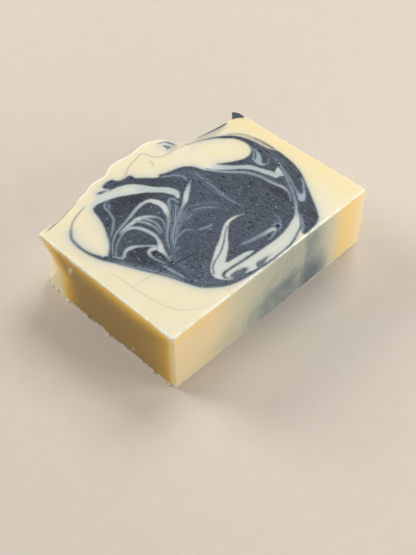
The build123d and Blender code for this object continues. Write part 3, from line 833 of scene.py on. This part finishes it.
def cured_soap(field_names):
    """Cold-process soap, cut with a knife and cured: waxy, a little translucent, satin where the knife went.

    Ivory soap lets light in, so it is greyed by charcoal close by; charcoal soap is opaque and slate blue,
    with crumbs and pits where the knife tore it, painted pale as highlights and dark as shade.
    """
    material, tree = blank_material("cold_process_soap_cut")
    field = {name: add(tree, "Attribute", attribute_name=name).outputs["Fac"] for name in field_names}
    place = add(tree, "NewGeometry").outputs["Position"]

    # the border between the two soaps, a little blurred, and wavering over about a millimetre
    waver = add(tree, "TexNoise", {"Vector": place, "Scale": 1 / (1.1 * MM), "Detail": 2.0})
    wavering = add(tree, "MapRange", {"Value": waver, 1: 0.25, 2: 0.75, 3: -0.1, 4: 0.1})
    border = add(tree, "Math", {0: field["charcoal_edge"], 1: wavering}, operation="ADD")
    dark = add(tree, "MapRange", {"Value": border, 1: -0.55, 2: 0.42}, interpolation_type="SMOOTHSTEP")

    # strands of the feathers, and the painted highlights and shade of what the knife left
    comb = add(tree, "TexNoise", {"W": field["strand"], "Scale": 2.4, "Detail": 3.0}, noise_dimensions="1D")
    strands = add(tree, "MapRange", {"Value": comb, 1: 0.44, 2: 0.66})
    combed = add(tree, "Math", {0: field["feather"], 1: strands}, operation="MULTIPLY")
    streaks = add(tree, "Math", {0: field["hair"], 1: combed}, operation="MAXIMUM")
    pale_marks = add(tree, "MapRange", {"Value": field["mark"], 1: 0.25, 2: 1.0})
    dark_marks = add(tree, "MapRange", {"Value": field["mark"], 1: -0.1, 2: -0.7})

    # ivory, by its distance in millimetres from the charcoal
    away = add(tree, "MapRange", {"Value": field["charcoal_edge"], 1: 0.0, 2: -6.0})
    ivory = add(tree, "ValToRGB", {"Fac": away}, stops=[
        (0.0, "#9DA9AF"), (0.06, "#BCC5C5"), (0.12, "#D2D5CB"), (0.2, "#DFDDCC"), (0.35, "#EAE4CE"),
        (0.55, "#F0E8CD"), (1.0, "#F3EBCC"),
    ])
    film = add(tree, "ValToRGB", {"Fac": field["thin"]}, stops=[
        (0.0, "#E6E6DA"), (0.5, "#C8D1D0"), (1.0, "#98AAB8"),
    ])
    filmed = add(tree, "MapRange", {"Value": field["thin"], 2: 0.45})
    veil = add(tree, "ValToRGB", {"Fac": field["ghost"]}, stops=[
        (0.0, "#F0DAAC"), (0.3, "#D2CAAC"), (0.5, "#BCBDA8"), (0.75, "#8F9692"), (1.0, "#6C757C"),
    ])
    veiled = add(tree, "MapRange", {"Value": field["ghost"], 2: 0.35})
    # white flecks of soda ash on the walls, a third of a millimetre wide, and white crumbs with a painted
    # highlight
    ash = add(tree, "TexVoronoi", {"Vector": place, "Scale": 1 / (3.4 * MM)})
    fleck = add(tree, "MapRange", {"Value": ash, 1: 0.1, 2: 0.04, 4: 0.55})
    ashen = add(tree, "Math", {0: fleck, 1: field["ghost"]}, operation="MULTIPLY")
    flecks = add(tree, "Math", {0: pale_marks, 1: 0.4, 2: ashen}, operation="MULTIPLY_ADD")
    whitened = add(tree, "Math", {0: flecks, 1: field["rim"]}, operation="MAXIMUM")

    # charcoal: grit of about half a millimetre, drawn out along the knife's way
    drawn = add(tree, "VectorMath", {0: place, 1: (1.0, 0.3, 1.0)}, operation="MULTIPLY")
    grit = add(tree, "TexNoise", {"Vector": place, "Scale": 1 / (0.65 * MM), "Detail": 3.0})
    drag = add(tree, "TexNoise", {"Vector": drawn, "Scale": 1 / (0.75 * MM), "Detail": 2.0})
    grain = add(tree, "Math", {0: drag, 1: 0.7, 2: grit}, operation="MULTIPLY_ADD")
    slate = add(tree, "ValToRGB", {"Fac": grain}, stops=[
        (0.6, "#333A45"), (0.85, "#485160"), (1.0, "#555F6F"),
    ])
    dark_slate = add(tree, "ValToRGB", {"Fac": grain}, stops=[
        (0.6, "#171B22"), (0.85, "#2B313B"), (1.0, "#414957"),
    ])
    # torn spots of any size up to a third of a millimetre: some pale crumbs with a painted highlight, some
    # dark pits with painted shade
    torn = add(tree, "TexVoronoi", {"Vector": place, "Scale": 1 / (1.25 * MM)})
    chance = add(tree, "SeparateColor", {"Color": torn.outputs["Color"]}).outputs
    spot_size = add(tree, "Math", {0: chance["Red"], 1: 0.37}, operation="MULTIPLY")
    in_spot = add(tree, "Math", {0: spot_size, 1: torn}, operation="SUBTRACT")
    uneven = add(tree, "Math", {0: grit, 1: 0.5, 2: in_spot}, operation="MULTIPLY_ADD")
    spot = add(tree, "MapRange", {"Value": uneven, 1: 0.25, 2: 0.36})
    crumb_share = add(tree, "MapRange", {"Value": chance["Green"], 1: 0.7, 2: 1.0})
    is_pit = add(tree, "Math", {0: chance["Green"], 1: 0.54}, operation="LESS_THAN")
    crumb = add(tree, "Math", {0: spot, 1: crumb_share}, operation="MULTIPLY")
    pit = add(tree, "Math", {0: spot, 1: is_pit}, operation="MULTIPLY")
    pit_shade = add(tree, "Math", {0: pit, 1: dark_marks}, operation="MAXIMUM")
    crumbs = add(tree, "Math", {0: crumb, 1: pale_marks}, operation="MAXIMUM")

    # each list lays colours over its first one: how much of a colour shows, then the colour
    layers = {
        "wall": [
            (None, "#F0DAAC"),
            # painted shade: the left wall is darker and browner, as it lies in shade
            (field["left_wall"], "#A88A56"),
            (field["glow"], "#FFD046"),  # painted golden glow where light leaves the soap
        ],
        "ivory": [
            (None, ivory),
            (field["butter"], "#F6E4B0"),  # faint butter-coloured clouds, and a painted warm glow towards the right end
            (filmed, film),  # drawn out thin it turns blue-grey
            (field["skin"], "wall"),  # the mould's skin is yellower
            # painted light: lighter cream on the bare shoulder and on the lit corners and edge
            (field["bare"], "#FBE9C3"),
            (veiled, veil),  # grey where charcoal lies close under the skin
            (streaks, "#747777"),
            # painted shade in the knife's pits and scratches
            (dark_marks, "#CDB98F"),
            # white flecks of ash, white crumbs and rims, partly painted highlights
            (whitened, "#FFFBEF"),
        ],
        "charcoal": [
            (None, slate),
            (field["deep"], dark_slate),
            (streaks, "#93A7BA"),
            # painted shade in the pits
            (pit_shade, "#191D25"),
            # painted highlights on the crumbs
            (crumbs, "#8F9AA5"),
        ],
        "soap": [(None, "ivory"), (dark, "charcoal")],
    }
    laid = {}
    for name, coats in layers.items():
        for share, coat in coats:
            if isinstance(coat, str):
                coat = laid[coat] if coat in laid else linear(coat)
            if share is not None:
                coat = add(tree, "Mix", {0: share, 6: laid[name], 7: coat}, data_type="RGBA")
            laid[name] = coat

    # crumbs stand up and pits go down where the knife tore the charcoal
    relief = add(tree, "Math", {0: crumb, 1: pit}, operation="SUBTRACT")
    rugged = add(tree, "Math", {0: relief, 1: grain}, operation="ADD")
    tearing = add(tree, "Math", {0: rugged, 1: dark}, operation="MULTIPLY")
    waxy = add(tree, "TexNoise", {"Vector": place, "Scale": 1 / (0.9 * MM), "Detail": 2.0})
    height = add(tree, "Math", {0: waxy, 1: 0.12, 2: tearing}, operation="MULTIPLY_ADD")
    soap = add(tree, "BsdfPrincipled", {
        "Base Color": laid["soap"],
        "Roughness": add(tree, "MapRange", {"Value": grit, 3: 0.42, 4: 0.62}),
        "IOR": 1.46,
        "Specular IOR Level": 0.3,
        "Subsurface Weight": add(tree, "MapRange", {"Value": dark, 3: 0.45, 4: 0.0}),
        "Subsurface Radius": (1.0, 0.7, 0.45),
        "Subsurface Scale": 3.0 * MM,
        "Normal": add(tree, "Bump", {"Strength": 1.0, "Distance": 0.2 * MM, "Height": height}),
    })
    add(tree, "OutputMaterial", {"Surface": soap})
    return material


def put(name, data):
    """A new object in the scene."""
    made = bpy.data.objects.new(name, data)
    bpy.context.scene.collection.objects.link(made)
    return made


def soap_bar():
    """The bar as one closed skin on the frame's solid."""
    places, faces, fields = shape_bar()
    mesh = bpy.data.meshes.new("soap_bar_skin")
    mesh.from_pydata((places * MM).tolist(), [], faces)
    mesh.polygons.foreach_set("use_smooth", [True] * len(mesh.polygons))
    for name, values in fields.items():
        layer = mesh.attributes.new(name, "FLOAT", "POINT")
        layer.data.foreach_set("value", values.astype(np.float32))
    mesh.validate()
    bar = put("soap_bar_skin", mesh)
    mesh.materials.append(cured_soap(fields))
    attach(bar, "root")
    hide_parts("soap_bar")


def studio():
    """A plain pale floor of matte paper, soft lamps and an even sky."""
    material, tree = blank_material("pale_backdrop_paper")
    place = add(tree, "NewGeometry").outputs["Position"]
    fibre = add(tree, "TexNoise", {"Vector": place, "Scale": 1 / (6 * MM), "Detail": 4.0})
    paper = add(tree, "ValToRGB", {"Fac": fibre}, stops=[(0.0, "#D8CDC1"), (1.0, "#DDD3C8")])
    matte = add(tree, "BsdfPrincipled", {"Base Color": paper, "Roughness": 0.9})
    add(tree, "OutputMaterial", {"Surface": matte})
    reach = 3.0
    corners = [(-reach, -reach, 0), (reach, -reach, 0), (reach, reach, 0), (-reach, reach, 0)]
    floor_mesh = bpy.data.meshes.new("studio_floor")
    floor_mesh.from_pydata(corners, [], [(0, 1, 2, 3)])
    floor_mesh.materials.append(material)
    floor = put("studio_floor", floor_mesh)

    # name, direction, distance, width, power and colour
    lamps = [
        ("key_lamp", (0.66, 0.2, 0.72), 1.4, 0.7, 9.7, "#FFFEFA"),
        ("front_lamp", (0.5, -0.8, 0.35), 0.5, 0.3, 1.2, "#FFFEFC"),
        ("fill_lamp", (-0.6, -0.75, 0.3), 0.8, 0.5, 0.75, "#FFFEFC"),
        ("back_lamp", (-0.26, 0.86, 0.46), 1.2, 0.6, 9.3, "#FFFDF6"),
    ]
    for name, towards, distance, width, power, colour in lamps:
        light = bpy.data.lights.new(name, "AREA")
        light.energy = power
        light.size = width
        light.color = linear(colour)[:3]
        lamp = put(name, light)
        direction = Vector(towards).normalized()
        lamp.location = direction * distance
        lamp.rotation_euler = direction.to_track_quat("Z", "Y").to_euler()

    world = bpy.data.worlds.new("even_sky")
    world.use_nodes = True
    sky = world.node_tree.nodes["Background"]
    sky.inputs["Color"].default_value = linear("#FFFFFF")
    sky.inputs["Strength"].default_value = 0.21
    bpy.context.scene.world = world


def camera():
    """The viewing place of the photograph, which is 416 by 555 pixels."""
    aim = Vector((-3.207, -8.394, -2.779)) * MM
    azimuth, elevation, roll = math.radians(-44.99), math.radians(47.58), math.radians(-0.25)
    distance = 312.3 * MM
    level = math.cos(elevation)
    back = Vector((math.sin(azimuth) * level, -math.cos(azimuth) * level, math.sin(elevation)))
    right = Vector((math.cos(azimuth), math.sin(azimuth), 0))
    rise = back.cross(right)
    turned_right = right * math.cos(roll) + rise * math.sin(roll)
    turned_rise = rise * math.cos(roll) - right * math.sin(roll)
    turn = Matrix((turned_right, turned_rise, back)).transposed().to_4x4()
    lens = bpy.data.cameras.new("photo_camera")
    lens.sensor_fit = "VERTICAL"
    lens.sensor_height = 36.0
    lens.sensor_width = 36.0
    lens.lens = 58.378
    lens.clip_start = 0.01
    lens.clip_end = 20.0
    eye = put("photo_camera", lens)
    eye.matrix_world = Matrix.Translation(aim + back * distance) @ turn
    bpy.context.scene.camera = eye


soap_bar()
studio()
camera()
bpy.context.scene.view_settings.view_transform = "Standard"
